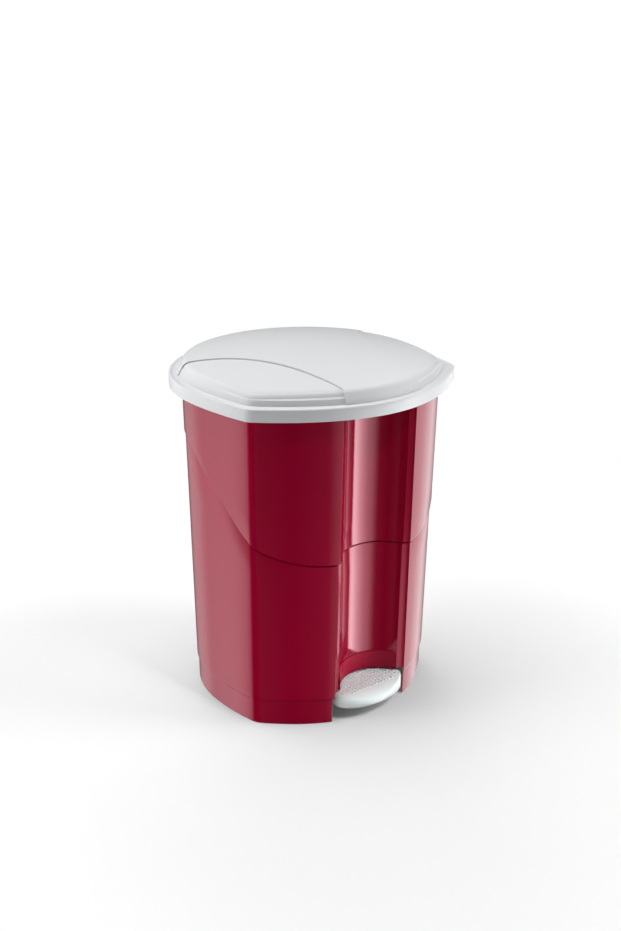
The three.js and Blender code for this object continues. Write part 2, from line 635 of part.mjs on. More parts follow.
function bailGrip() {
  const { halfLength, radius } = GRIP;
  const [y, z] = [BUCKET.y - BAIL.reach, BAIL.z + BAIL.rise];
  const body = join(barX(radius - 0.8, -halfLength, halfLength, y, z, 20),
    ...[-24, -12, 0, 12, 24].map((x) => barX(radius, x - 4.5, x + 4.5, y, z, 20)));
  return cut(body, barX(BAIL.wire + GAP, -halfLength - 1, halfLength + 1, y, z, 16));
}

// ---- assembly ------------------------------------------------------------------------------

const bin = new THREE.Group();

// The front rim and the hinge knuckles set how far the bin reaches; this puts its middle at y = 0.
const frontReach = planAt(RIM.top - RIM.edge, RIM.outside).front;
const backReach = HINGE.y + HINGE.knuckle;
bin.position.y = (frontReach - backReach) / 2;

function addPiece(name, shape, material) {
  const geometry = shape.isBufferGeometry ? shape : toGeometry(shape);
  const piece = new THREE.Mesh(geometry, material());
  piece.name = name;
  bin.add(piece);
}

addPiece('outer_body', outerBody(), redPlastic);
addPiece('lid', lid(), whitePlastic);
addPiece('hinge_bracket', hingeBracket(), whitePlastic);
addPiece('hinge_pin', hingePin(), steel);
addPiece('pedal_plate', pedalPlate(), whitePlastic);
addPiece('pedal_lever', pedalLever(), whitePlastic);
addPiece('pedal_axle', pedalAxle(), steel);
addPiece('push_rod', wire(rodCurve(), ROD.radius, 28), steel);
addPiece('rod_foot', rodFoot(), greyPlastic);
addPiece('rod_cap', rodCap(), greyPlastic);
addPiece('inner_bucket', innerBucket(), greyPlastic);
addPiece('bail_handle', wire(bailCurve(), BAIL.wire, 52), steel);
addPiece('bail_grip', bailGrip(), whitePlastic);

for (const [name, z] of Object.entries(GUIDES)) addPiece(name, rodGuide(z), greyPlastic);

for (const [word, side] of [['left', -1], ['right', 1]]) {
  addPiece(`bracket_screw_${word}`, bracketScrew(side), steel);
  addPiece(`hinge_pin_cap_${word}`, pinCap(side), greyPlastic);
  addPiece(`axle_clip_${word}`, axleClip(side), steel);
}

addPiece('pedal_screw_front', pedalScrew(PEDAL_SCREWS[0]), steel);
addPiece('pedal_screw_back', pedalScrew(PEDAL_SCREWS[1]), steel);

export default bin;
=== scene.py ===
import math

import bmesh
import bpy
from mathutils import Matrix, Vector


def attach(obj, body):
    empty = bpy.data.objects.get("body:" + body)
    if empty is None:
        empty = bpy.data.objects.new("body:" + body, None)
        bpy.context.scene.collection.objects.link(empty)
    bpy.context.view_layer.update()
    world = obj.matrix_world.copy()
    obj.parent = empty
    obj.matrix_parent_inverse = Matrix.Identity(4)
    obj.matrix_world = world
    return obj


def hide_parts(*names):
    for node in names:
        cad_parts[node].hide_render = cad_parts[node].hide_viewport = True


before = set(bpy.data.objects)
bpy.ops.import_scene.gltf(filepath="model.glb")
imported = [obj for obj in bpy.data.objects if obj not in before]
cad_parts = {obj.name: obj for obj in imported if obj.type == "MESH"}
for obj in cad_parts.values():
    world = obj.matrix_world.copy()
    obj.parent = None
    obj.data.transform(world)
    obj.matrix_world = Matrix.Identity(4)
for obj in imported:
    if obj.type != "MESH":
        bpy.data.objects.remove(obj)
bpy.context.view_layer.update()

MM = 0.001
SHIFT = 1.395  # the CAD frame's middle lies this far in front of the plan's own middle, in mm

RED, WHITE, GREY, STEEL = "red_gloss_plastic", "white_plastic", "grey_plastic", "zinc_steel"


def add_object(name, data):
    made = bpy.data.objects.new(name, data)
    bpy.context.scene.collection.objects.link(made)
    return made


# ---- camera --------------------------------------------------------------------------------

CAMERA_TURN, CAMERA_RISE = -36.4, 20.4  # degrees round the bin from its front, and up
TARGET_RIGHT, TARGET_UP = 6.05, 256.95  # the point aimed at, in mm
CAMERA_DISTANCE = 1309.05


def place_camera():
    azimuth, elevation = math.radians(CAMERA_TURN), math.radians(CAMERA_RISE)
    back = Vector((math.sin(azimuth) * math.cos(elevation), -math.cos(azimuth) * math.cos(elevation),
                   math.sin(elevation)))
    right = Vector((math.cos(azimuth), math.sin(azimuth), 0))
    target = right * TARGET_RIGHT + Vector((0, SHIFT, TARGET_UP))
    data = bpy.data.cameras.new("camera")
    data.lens = 44.47
    data.sensor_width = 36
    data.clip_start = 0.05
    data.clip_end = 20
    camera = add_object("camera", data)
    camera.location = (target + back * CAMERA_DISTANCE) * MM
    camera.rotation_euler = back.to_track_quat("Z", "Y").to_euler()
    bpy.context.scene.camera = camera


place_camera()
bpy.context.scene.view_settings.view_transform = "Standard"


# ---- materials -----------------------------------------------------------------------------

def material(name, color, roughness, metallic=0.0, grain=None, specular=0.5, tint=(1, 1, 1)):
    """A plain plastic or metal. grain is (noise scale, bump height in mm)."""
    made = bpy.data.materials.new(name)
    made.use_nodes = True
    nodes, links = made.node_tree.nodes, made.node_tree.links
    shader = nodes["Principled BSDF"]
    shader.inputs["Base Color"].default_value = (*color, 1)
    shader.inputs["Roughness"].default_value = roughness
    shader.inputs["Metallic"].default_value = metallic
    shader.inputs["Specular IOR Level"].default_value = specular
    shader.inputs["Specular Tint"].default_value = (*tint, 1)
    if grain:
        scale, height = grain
        place = nodes.new("ShaderNodeTexCoord")
        noise = nodes.new("ShaderNodeTexNoise")
        noise.inputs["Scale"].default_value = scale
        noise.inputs["Detail"].default_value = 3
        bump = nodes.new("ShaderNodeBump")
        bump.inputs["Strength"].default_value = 0.5
        bump.inputs["Distance"].default_value = height * MM
        links.new(place.outputs["Object"], noise.inputs["Vector"])
        links.new(noise.outputs["Fac"], bump.inputs["Height"])
        links.new(bump.outputs["Normal"], shader.inputs["Normal"])
    return made


CRIMSON, RED_SHINE = (0.29, 0.0008, 0.024), (1, 0.55, 0.63)
red_gloss = material("red_gloss", CRIMSON, 0.08, grain=(60, 0.02), specular=0.8, tint=RED_SHINE)
red_rough = material("red_rough", CRIMSON, 0.45, grain=(480, 1.6), specular=0.3, tint=RED_SHINE)
white_pedal = material("white_pedal", (0.76, 0.83, 0.83), 0.4, specular=0.3)
white_gloss = material("white_gloss", (0.64, 0.65, 0.665), 0.25, grain=(90, 0.03), specular=0.25)
grey_plastic = material("grey_plastic", (0.09, 0.095, 0.1), 0.45, grain=(300, 0.05))
zinc = material("zinc", (0.55, 0.56, 0.58), 0.32, metallic=1.0, grain=(700, 0.05))


# ---- mesh helpers --------------------------------------------------------------------------

def mix(a, b, t):
    return a + (b - a) * t


def steps(start, end, count):
    """count values after start, up to and with end."""
    return [mix(start, end, (i + 1) / count) for i in range(count)]


def spread(start, end, count):
    """count + 1 values from start to end."""
    return [mix(start, end, i / count) for i in range(count + 1)]


def around(count):
    """count angles round a full turn."""
    return [2 * math.pi * i / count for i in range(count)]


def bezier(points, t):
    (a, b, c), u = points, 1 - t
    return tuple(u * u * p + 2 * u * t * q + t * t * r for p, q, r in zip(a, b, c))


def lift(points, z):
    """Points of a plan raised to z, which is a height or a function of x and y."""
    return [(x, y, z(x, y) if callable(z) else z) for x, y in points]


class Build:
    """Collects grids of points in mm, then makes one object in the row frame."""

    def __init__(self):
        self.mesh = bmesh.new()

    def vert(self, x, y, z):
        return self.mesh.verts.new((x * MM, (y + SHIFT) * MM, z * MM))

    def grid(self, rows, closed=False, slot=0, skip=None, flip=False):
        """Quads between rows of equal length. skip(row, column) leaves a quad out."""
        made = [[self.vert(*point) for point in row] for row in rows]
        width = len(rows[0])
        for r in range(len(rows) - 1):
            for i in range(width if closed else width - 1):
                if skip and skip(r, i):
                    continue
                j = (i + 1) % width
                corners = [made[r][i], made[r][j], made[r + 1][j], made[r + 1][i]]
                try:
                    face = self.mesh.faces.new(reversed(corners) if flip else corners)
                except ValueError:
                    continue
                face.material_index = slot
                face.smooth = True

    def fan(self, row, centre, flip=False):
        """Closes a ring of points with triangles to a centre."""
        ring = [self.vert(*point) for point in row]
        hub = self.vert(*centre)
        for i, a in enumerate(ring):
            b = ring[(i + 1) % len(ring)]
            face = self.mesh.faces.new((b, a, hub) if flip else (a, b, hub))
            face.smooth = True

    def box(self, x, y, z):
        """A box between pairs of limits in mm."""
        corners = [(x[i], y[j], z[k]) for k in (0, 1) for i, j in ((0, 0), (1, 0), (1, 1), (0, 1))]
        made = [self.vert(*corner) for corner in corners]
        sides = [(0, 3, 2, 1), (4, 5, 6, 7), (0, 1, 5, 4), (1, 2, 6, 5), (2, 3, 7, 6), (3, 0, 4, 7)]
        for side in sides:
            face = self.mesh.faces.new([made[i] for i in side])
            face.smooth = True

    def done(self, name, materials, body, nodes, slot, bevel, weld=0.02, angle=30):
        """Makes the object. bevel and weld are in mm, angle in degrees."""
        bmesh.ops.remove_doubles(self.mesh, verts=self.mesh.verts, dist=weld * MM)
        bmesh.ops.dissolve_degenerate(self.mesh, edges=self.mesh.edges, dist=0.001 * MM)
        bmesh.ops.recalc_face_normals(self.mesh, faces=self.mesh.faces)
        data = bpy.data.meshes.new(name)
        self.mesh.to_mesh(data)
        self.mesh.free()
        for entry in materials:
            data.materials.append(entry)
        made = add_object(name, data)
        if bevel:
            soften(made, bevel, angle)
        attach(made, body)
        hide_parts(*nodes)


def soften(made, width, angle=30):
    """Small round edges that catch the light."""
    bevel = made.modifiers.new("bevel", "BEVEL")
    bevel.width = width * MM
    bevel.segments = 2
    bevel.limit_method = "ANGLE"
    bevel.angle_limit = math.radians(angle)
    bevel.harden_normals = True
    bevel.use_clamp_overlap = True


# ---- the plan of the body ------------------------------------------------------------------

# the outline at the floor and at RIM_Z: half widths, depths and how far the front bows, in mm
FOOT = dict(corner=121.8, front=133.0, sag=60.2, side=131.7, back=125.4)
RIM_PLAN = dict(corner=126.2, front=140.6, sag=60.4, side=135.3, back=134.5)
RIM_Z = 360
CHANNEL_EDGE = 49.0
CHANNEL_RADIUS, CHANNEL_BACK, CHANNEL_LEAN = 47.3, -94.2, 0.0143
CORNER_ROUND = 5.0
CHANNEL_COLUMNS = 26  # perimeter points from the middle of the channel to the column's edge


def plan_at(z, d):
    """Sizes of the outline at height z, moved out by d."""
    t = z / RIM_Z
    size = {key: mix(FOOT[key], RIM_PLAN[key], t) for key in FOOT}
    return dict(corner=size["corner"] + 0.8 * d, front=size["front"] + d, sag=size["sag"] + 0.15 * d,
                side=size["side"] + d, back=size["back"] + d)


def front_y(plan, x):
    return -plan["front"] + plan["sag"] * (x / plan["corner"]) ** 2


def half_plan(plan, start_x):
    """Right half of the outline, from start_x on the front to the middle of the back."""
    corner_y = front_y(plan, plan["corner"])

    def side_x(y):
        return plan["side"] - (plan["side"] - plan["corner"]) * (y / corner_y) ** 2

    front_end = plan["corner"] - CORNER_ROUND
    side_start = corner_y + CORNER_ROUND
    points = [(start_x, front_y(plan, start_x))]
    points += [(x, front_y(plan, x)) for x in steps(start_x, front_end, 22)]
    corner = [(front_end, front_y(plan, front_end)), (plan["corner"], corner_y),
              (side_x(side_start), side_start)]
    points += [bezier(corner, t) for t in steps(0, 1, 8)]
    points += [(side_x(y), y) for y in steps(side_start, 0, 16)]
    points += [(plan["side"] * math.cos(t), plan["back"] * math.sin(t)) for t in steps(0, math.pi / 2, 40)]
    return points


def mirrored(half):
    """Whole outline from its right half, which starts on the front and ends on the back middle."""
    left = [(-x, y) for x, y in reversed(half[1:-1])]
    return half + left


def channel_centre(z):
    """y of the middle of the channel's arc, which leans with the front."""
    return CHANNEL_BACK - CHANNEL_LEAN * z - CHANNEL_RADIUS


def channel_plan(z, d):
    """Outline with the toe channel, its narrow land and the edge of the front column."""
    plan = plan_at(z, d)
    centre = channel_centre(z)
    radius = CHANNEL_RADIUS - d
    edge = CHANNEL_EDGE - d
    front = front_y(plan, edge)
    land_y = front + 4.6
    land_x = math.sqrt(radius ** 2 - (land_y - centre) ** 2)
    reach = math.asin(land_x / radius)
    arc = CHANNEL_COLUMNS - 5
    half = [(0, centre + radius)]
    half += [(radius * math.sin(a), centre + radius * math.cos(a)) for a in steps(0, reach, arc)]
    half += [(mix(land_x, edge - 0.9, 0.5), mix(land_y, front + 1.7, 0.5)), (edge - 0.9, front + 1.7),
             (edge - 0.35, front + 1.3), (edge - 0.1, front + 0.7)]
    rest = half_plan(plan, edge + 0.5)
    return mirrored(half + rest)


def full_plan(z, d):
    """Outline without the channel, with the same number of points as channel_plan."""
    plan = plan_at(z, d)
    edge = CHANNEL_EDGE - d
    half = [(0, front_y(plan, 0))]
    half += [(x, front_y(plan, x)) for x in steps(0, edge, CHANNEL_COLUMNS - 1)]
    return mirrored(half + half_plan(plan, edge + 0.5))


WIDTH = len(channel_plan(0, 0))


def in_channel(i):
    """True for the quads of the outline that cross the toe channel."""
    return i < CHANNEL_COLUMNS - 1 or i >= WIDTH - CHANNEL_COLUMNS + 1


# ---- outer body ----------------------------------------------------------------------------

UPPER, LOWER, PLINTH, INSIDE = 0.8, -0.5, -2.0, -2.6  # offsets of the skins from the plan
SKIRT_WALL = 2.1
OPENING_TOP = 35.5
FLOOR_UNDER, FLOOR_TOP = 46.4, 49
LIP_UNDER, SHELL_TOP, LIP_OUT = 361, 364, 7
WAVE_Z, WAVE_RISE = 194.5, 112
WAVE_START, WAVE_RUN = -127, 180  # y where the wave begins to rise, and how far back it levels out


def wave_height(x, y):
    """Height of the wave line, level across the channel and smooth up the sides."""
    if abs(x) < CHANNEL_EDGE + 1.2 and y < 0:
        return WAVE_Z
    t = min(max((y - WAVE_START) / WAVE_RUN, 0), 1)
    return WAVE_Z + WAVE_RISE * t * t * (3 - 2 * t)


def wave_row(d, dz):
    """The outline along the wave line, moved out by d and up by dz."""
    row = []
    for i, (x, y) in enumerate(channel_plan(WAVE_Z, d)):
        z = wave_height(x, y) + dz
        row.append((*channel_plan(z, d)[i], z))
    return row


def between(low_row, high_row, count):
    """Rows spread evenly between two rows, without the two."""
    shares = [k / (count + 1) for k in range(1, count + 1)]
    return [[tuple(mix(a, b, t) for a, b in zip(p, q)) for p, q in zip(low_row, high_row)] for t in shares]


ROD_HOLE, ROD_BACK = 8.0, 112.0


def rod_hole(row):
    """The edge of the push rod's hole, point for point with a row round the shell."""
    ring = []
    for x, y, z in row:
        turn = math.atan2(y - ROD_BACK, x)
        ring.append((ROD_HOLE * math.cos(turn), ROD_BACK + ROD_HOLE * math.sin(turn), z))
    return ring


def level(z, d):
    return lift(channel_plan(z, d), z)


def out_of_channel(r, i):
    return not in_channel(i)


def outer_body():
    build = Build()
    plinth = [(0, PLINTH), (15, PLINTH), (30, PLINTH), (30, LOWER - 0.9), (30.25, LOWER - 0.35),
              (30.75, LOWER - 0.08), (31.5, LOWER), (OPENING_TOP, LOWER)]
    seam = [(LOWER, -2.6), (LOWER - 0.12, -1.9), (LOWER - 0.5, -1.45), (LOWER - 1.3, -1.2), (LOWER - 1.3, 0),
            (UPPER - 0.9, 0), (UPPER - 0.35, 0.25), (UPPER - 0.08, 0.75), (UPPER, 1.5)]
    wave = [wave_row(d, dz) for d, dz in seam]
    top = level(LIP_UNDER, UPPER)
    outer = [level(z, d) for z, d in plinth]
    below_channel = len(outer) - 1
    outer += between(outer[-1], wave[0], 5) + wave + between(wave[-1], top, 4) + [top]

    def pedal_opening(r, i):
        return r < below_channel and in_channel(i)

    build.grid(outer, closed=True, skip=pedal_opening)
    skirt = [(z, PLINTH) for z in (0, 15, 30, 30.1, 30.25, 30.75)] + [(31.5, PLINTH + 0.7)]
    inner = [level(z, d - SKIRT_WALL) for z, d in skirt]
    inner += [level(OPENING_TOP, INSIDE), level(FLOOR_UNDER, INSIDE)]
    build.grid(inner, closed=True, skip=pedal_opening, flip=True)
    build.grid([inner[0], outer[0]], closed=True, skip=lambda r, i: in_channel(i))
    build.grid([outer[below_channel], inner[below_channel]], closed=True, skip=out_of_channel)
    for column in (CHANNEL_COLUMNS - 1, WIDTH - CHANNEL_COLUMNS + 1):
        build.grid([[row[column] for row in outer[:below_channel + 1]],
                    [row[column] for row in inner[:below_channel + 1]]])
    under = rod_hole(inner[-1])
    build.grid([inner[-1]] + between(inner[-1], under, 6) + [under], closed=True)
    lip = [lift(full_plan(z, LIP_OUT), z) for z in (LIP_UNDER, SHELL_TOP)]
    build.grid([top] + lip + [level(SHELL_TOP, INSIDE)], closed=True)
    inside = [level(z, INSIDE) for z in (SHELL_TOP, 240, 120, FLOOR_TOP)]
    build.grid(inside, closed=True)
    above = rod_hole(inside[-1])
    build.grid([inside[-1]] + between(inside[-1], above, 6) + [above], closed=True)
    build.grid([above, under], closed=True)
    return build


def toe_panel(build):
    """Roughened panel just above the pedal, with rounded upper corners."""
    reach = math.radians(60)

    def row(z, d, share):
        centre, radius = channel_centre(z), CHANNEL_RADIUS - d
        return [(radius * math.sin(a), centre + radius * math.cos(a), z)
                for a in spread(-reach * share, reach * share, 40)]

    rows = [row(35.7, 1.8, 1), row(42, 1.6, 1), row(49, 1.35, 1), row(53, 1.15, 0.985), row(55, 1.0, 0.95),
            row(56.3, 0.9, 0.9), row(57, -0.6, 0.88)]
    build.grid(rows, slot=1, flip=True)
    build.grid([rows[0], row(35.7, -0.6, 1)], slot=1)
    for side in (0, -1):
        edge = [row[side] for row in rows]
        build.grid([edge, [(x * 1.02, y + 1.2, z) for x, y, z in edge]], slot=1)


def lugs(build):
    """The two lugs under the floor that hold the pedal's axle."""
    for side in (-1, 1):
        x = sorted((side * 12.6, side * 17.1))
        outline = [(-45, 47), (-45, 18), (-41, 8.5), (-31, 8.5), (-27, 18), (-27, 47)]
        rows = [[(at, y, z) for y, z in outline] for at in x]
        build.grid(rows, closed=True)
        for at, flip in ((x[0], True), (x[1], False)):
            build.fan([(at, y, z) for y, z in outline], (at, -36, 25), flip=flip)


body = outer_body()
toe_panel(body)
lugs(body)
body.done("outer_body_look", [red_gloss, red_rough], "base", ["outer_body"], RED, bevel=0.45)


# ---- lid -----------------------------------------------------------------------------------

RIM_TOP = 373.3
DOME_HEIGHT, CROWN, PANEL_RISE = 401.0, 0.00082, 1.4
DOME_WALL = 2.4
BASE, RIDGE = 4.2, -3.2  # offsets of the foot of the facet and of the ridge over it
RIDGE_INNER = RIDGE - 4.5
GROOVE = 0.9  # depth of the groove along the edges of the raised middle panel
EDGE_FRONT_X, EDGE_BACK_Y = 44.5, 46  # where a panel edge meets the ridge
EDGE_PULL = (62, 0)  # the point that bends a panel edge
EDGE_STEPS, PANEL_COLUMNS = 48, 12


def dome_z(x, y, rise):
    """Height of the dome. rise is PANEL_RISE on the middle panel and 0 beside it."""
    return DOME_HEIGHT - PANEL_RISE + rise - CROWN * (x * x + y * y)


def right_outline(d):
    """Right half of the plan at the rim, from the front middle to the back middle."""
    outline = full_plan(RIM_TOP, d)
    return outline[:len(outline) // 2 + 1]


def lengths(points):
    total = [0]
    for a, b in zip(points, points[1:]):
        total.append(total[-1] + math.dist(a, b))
    return total


def along(points, s):
    """The point at share s of the length of a line of points."""
    total = lengths(points)
    want = s * total[-1]
    for i in range(len(points) - 1):
        if want <= total[i + 1] or i == len(points) - 2:
            t = (want - total[i]) / max(total[i + 1] - total[i], 1e-9)
            return tuple(mix(p, q, t) for p, q in zip(points[i], points[i + 1]))


def share_where(points, test):
    """Share of the length at which test first holds."""
    total = lengths(points)
    for i, point in enumerate(points):
        if test(point):
            return total[i] / total[-1]
    return 1.0


def side_profile(rise):
    """Rows from the ledge up the facet and round the ridge: (offset, height or None, drop below the dome)."""
    out = 1.2 if rise else 0.0
    return [(BASE + out, RIM_TOP - 0.2, None), (BASE + out - 0.3, RIM_TOP + 1.0, None),
            (mix(BASE, RIDGE + 2.6, 0.55) + out, RIM_TOP + 5.2, None), (RIDGE + 2.4 + out, None, 3.6),
            (RIDGE + 1.0 + out, None, 1.7), (RIDGE - 1.2 + out, None, 0.5), (RIDGE_INNER + out, None, 0.05)]


def profile_row(entry, shares, rise):
    """One row of the profile at shares of the length of the right outline."""
    d, height, drop = entry
    outline = right_outline(d)
    row = []
    for s in shares:
        x, y = along(outline, s)
        row.append((x, y, height if drop is None else dome_z(x, y, rise) - drop))
    return row


def turned(rows, side):
    return [[(side * x, y, z) for x, y, z in row] for row in rows]


def panel_rows(front_row, boundary):
    """Rows of the middle panel from its middle line out to its boundary, bowed like the front."""
    bow = front_row[0][1] - boundary[0][1]
    rows = [front_row]
    for n, (px, py, _) in enumerate(boundary[1:], 1):
        y_mid = py + bow * (1 - min(n / 40, 1)) ** 2
        row = []
        for k in range(PANEL_COLUMNS + 1):
            x, y = px * k / PANEL_COLUMNS, mix(y_mid, py, (k / PANEL_COLUMNS) ** 2)
            row.append((x, y, dome_z(x, y, PANEL_RISE)))
        rows.append(row)
    return rows


def side_rows(edge, outline):
    """Rows of the field beside the panel, from the groove at its edge out to the ridge."""
    shares = [0, 0.005, 0.009, 0.014] + [k / 14 for k in range(1, 15)]
    drops = [GROOVE, GROOVE, 0.25] + [0] * 15
    rows = []
    for t, drop in zip(shares, drops):
        plan = [(mix(ex, ox, t), mix(ey, oy, t)) for (ex, ey), (ox, oy, _) in zip(edge, outline)]
        rows.append([(x, y, dome_z(x, y, 0) - drop) for x, y in plan])
    return rows


def lid_top(build):
    """The facet, the ridge, the fields and the middle panel, one half at a time."""
    inner = right_outline(RIDGE_INNER)
    front = share_where(inner, lambda p: p[0] > EDGE_FRONT_X)
    back = share_where(inner, lambda p: p[1] > EDGE_BACK_Y)
    start, end = along(inner, front), along(inner, back)
    edge = [bezier([start, EDGE_PULL, end], i / EDGE_STEPS) for i in range(EDGE_STEPS + 1)]
    runs = [(spread(0, front, PANEL_COLUMNS), PANEL_RISE), (spread(front, back, EDGE_STEPS), 0),
            (spread(back, 1, 40), PANEL_RISE)]
    for side in (1, -1):
        strips = []
        for shares, rise in runs:
            rows = [profile_row(entry, shares, rise) for entry in side_profile(rise)]
            strips.append(rows)
            build.grid(turned(rows, side), flip=side < 0)
        for first, second in zip(strips, strips[1:]):
            build.grid(turned([[row[-1] for row in first], [row[0] for row in second]], side))
        build.grid(turned(side_rows(edge, strips[1][-1]), side))
        high_edge = [(x, y, dome_z(x, y, PANEL_RISE)) for x, y in edge]
        high_edge[0], high_edge[-1] = strips[0][-1][-1], strips[2][-1][0]
        build.grid(turned([high_edge, [(x, y, dome_z(x, y, 0) - GROOVE) for x, y in edge]], side))
        build.grid(turned(panel_rows(strips[0][-1], high_edge + strips[2][-1][1:]), side))


def lid_rim(build):
    """The overhanging rim, with a notch at the back for the hinge bracket."""
    outer = [(14.4, 360.0), (14.4, 366), (14.4, 371.4), (14.15, 372.4), (13.5, 373.1), (12.6, RIM_TOP),
             (11.4, 373.1), (10.6, 372.6), (6.4, 372.6), (5.4, 372.9), (BASE - 0.5, RIM_TOP - 0.2)]
    inner = [(14.4, 360.0), (12.2, 360.0), (12.2, 371.1), (4.2, 371.1), (4.2, 364.3), (1.7, 364.3),
             (1.7, 373.0)]
    for path, flip in ((outer, False), (inner, True)):
        rows = [lift(full_plan(RIM_TOP, d), z) for d, z in path]

        def notch(r, i):
            x, y, _ = rows[r][i]
            return abs(x) < 40.2 and y > 100 and path[r][0] > 5.2 and path[r + 1][0] > 3.0

        build.grid(rows, closed=True, flip=flip, skip=notch)


def under_dome(plan, drop):
    return lift(plan, lambda x, y: dome_z(x, y, 0) - drop)


def lid_inside(build):
    rings = [lift(full_plan(RIM_TOP, 1.7), 373.0)]
    rings += [under_dome(full_plan(RIM_TOP, d), drop) for d, drop in ((-1.6, 6.0), (-3.6, 4.2), (-6.4, 2.9))]
    last = full_plan(RIM_TOP, -6.4)
    for s in (0.9, 0.75, 0.58, 0.4, 0.22, 0.08):
        rings.append(under_dome([(x * s, y * s) for x, y in last], DOME_WALL))
    build.grid(rings, closed=True, flip=True)
    build.fan(rings[-1], (0, 0, dome_z(0, 0, 0) - DOME_WALL), flip=True)


def ring_on_x(x, radius, y, z, sides=32):
    """A ring of points round an axis along X."""
    return [(x, y + radius * math.cos(t), z + radius * math.sin(t)) for t in around(sides)]


def bar(build, radius, half_length, y, z, chamfer=0.4):
    """Round bar along X with small chamfers."""
    ends = [(-half_length, radius - chamfer), (-half_length + chamfer, radius),
            (half_length - chamfer, radius), (half_length, radius - chamfer)]
    rows = [ring_on_x(x, r, y, z) for x, r in ends]
    build.grid(rows, closed=True)
    build.fan(rows[0], (-half_length, y, z), flip=True)
    build.fan(rows[-1], (half_length, y, z))


HINGE_Y, HINGE_Z = 146, 369.5
LIFT_Y, LIFT_Z = 126, 362


def lid_fittings(build):
    """The hinge barrel with its arm, and the bar that the push rod lifts, on two webs."""
    bar(build, 6, 21, HINGE_Y, HINGE_Z)
    build.box((-20.8, 20.8), (137, HINGE_Y), (366.5, 373.2))
    bar(build, 4, 11, LIFT_Y, LIFT_Z)
    for x in ((-11, -8), (8, 11)):
        build.box(x, (LIFT_Y - 4, LIFT_Y + 4), (LIFT_Z, 384.5))


lid = Build()
lid_top(lid)
lid_rim(lid)
lid_inside(lid)
lid_fittings(lid)
lid.done("lid_look", [white_gloss], "lid", ["lid"], WHITE, bevel=0.35, angle=25)


# ---- pedal ---------------------------------------------------------------------------------

PLATE = dict(half_width=45.5, front=-142.0, side_y=-118.0, back=-72.0, top=32.5, foot=18.0)
NOSE_START, NOSE_RUN, NOSE_DROP = -123, 19, 11  # the front of the plate curves down over NOSE_RUN
PLATE_WALL = 3


def plate_outline(d, count=24):
    half = []
    half_width, side_y = PLATE["half_width"] - d, PLATE["side_y"]
    for a in [0] + steps(0, math.pi / 2, count):
        half.append((half_width * math.sin(a), side_y + (PLATE["front"] - side_y + d) * math.cos(a)))
    for a in steps(0, math.pi / 2, count):
        half.append((half_width * max(math.cos(a), 0) ** 0.8,
                     side_y + (PLATE["back"] - side_y - d) * math.sin(a) ** 0.8))
    return mirrored(half)


def plate_top(y):
    t = min(max((NOSE_START - y) / NOSE_RUN, 0), 1)
    return PLATE["top"] - NOSE_DROP * (1 - math.sqrt(1 - t * t))


def shrunk(outline, share):
    return [(x * share, mix(PLATE["side_y"], y, share)) for x, y in outline]


def under_plate_top(outline, drop):
    return lift(outline, lambda x, y: plate_top(y) - drop)


def pedal_plate():
    build = Build()
    outline, inner = plate_outline(0), plate_outline(PLATE_WALL)
    foot = lift(plate_outline(2.8), PLATE["foot"])
    rows = [foot, lift(outline, PLATE["foot"]), under_plate_top(outline, 2.2)]
    rows += [under_plate_top(shrunk(outline, share), drop) for share, drop in
             ((0.994, 1.1), (0.978, 0.3), (0.955, 0), (0.9, 0), (0.82, 0), (0.72, 0), (0.6, 0), (0.46, 0),
              (0.3, 0), (0.12, 0))]
    build.grid(rows, closed=True)
    build.fan(rows[-1], (0, PLATE["side_y"], PLATE["top"]))
    under = [foot, under_plate_top(inner, PLATE_WALL + 0.4)]
    under += [under_plate_top(shrunk(inner, share), PLATE_WALL) for share in (0.8, 0.5, 0.1)]
    build.grid(under, closed=True, flip=True)
    build.fan(under[-1], (0, PLATE["side_y"], PLATE["top"] - PLATE_WALL), flip=True)
    studs(build)
    return build


STUD_PITCH, STUD_RADIUS, STUD_HEIGHT = 4.7, 1.55, 1.2
STUD_PROFILE = ((1.0, -0.3), (0.98, 0.25), (0.8, 0.7), (0.45, 0.93))  # shares of radius and height
STUD_FIELD_X, STUD_FIELD_FRONT, STUD_FIELD_BACK = 41, 13, 45  # half axes of the field of studs


def stud(build, x, y):
    rings = []
    for share, rise in STUD_PROFILE:
        rings.append([(x + STUD_RADIUS * share * math.cos(t), y + STUD_RADIUS * share * math.sin(t),
                       plate_top(y) + STUD_HEIGHT * rise) for t in around(12)])
    build.grid(rings, closed=True)
    build.fan(rings[-1], (x, y, plate_top(y) + STUD_HEIGHT))


def studs(build):
    for row in range(12):
        y = -80 - row * STUD_PITCH
        ahead = y - PLATE["side_y"]
        depth = STUD_FIELD_FRONT if ahead < 0 else STUD_FIELD_BACK
        for k in range(-8, 9):
            x = k * STUD_PITCH
            if (x / STUD_FIELD_X) ** 2 + (ahead / depth) ** 2 <= 1:
                stud(build, x, y)


pedal_plate().done("pedal_plate_look", [white_pedal], "pedal", ["pedal_plate"], WHITE, bevel=0, weld=0.005)


# ---- bucket, bail and grip -----------------------------------------------------------------

BUCKET_Y = 6.0
BUCKET_BOTTOM, BUCKET_TOP = 49.3, 352


def bucket_ring(z, d):
    """Ellipse of the bucket's outside at height z, moved out by d."""
    t = (z - BUCKET_BOTTOM) / (BUCKET_TOP - BUCKET_BOTTOM)
    a, b = mix(101, 113, t) + d, mix(88, 96, t) + d
    return [(a * math.sin(s), BUCKET_Y - b * math.cos(s), z) for s in around(120)]


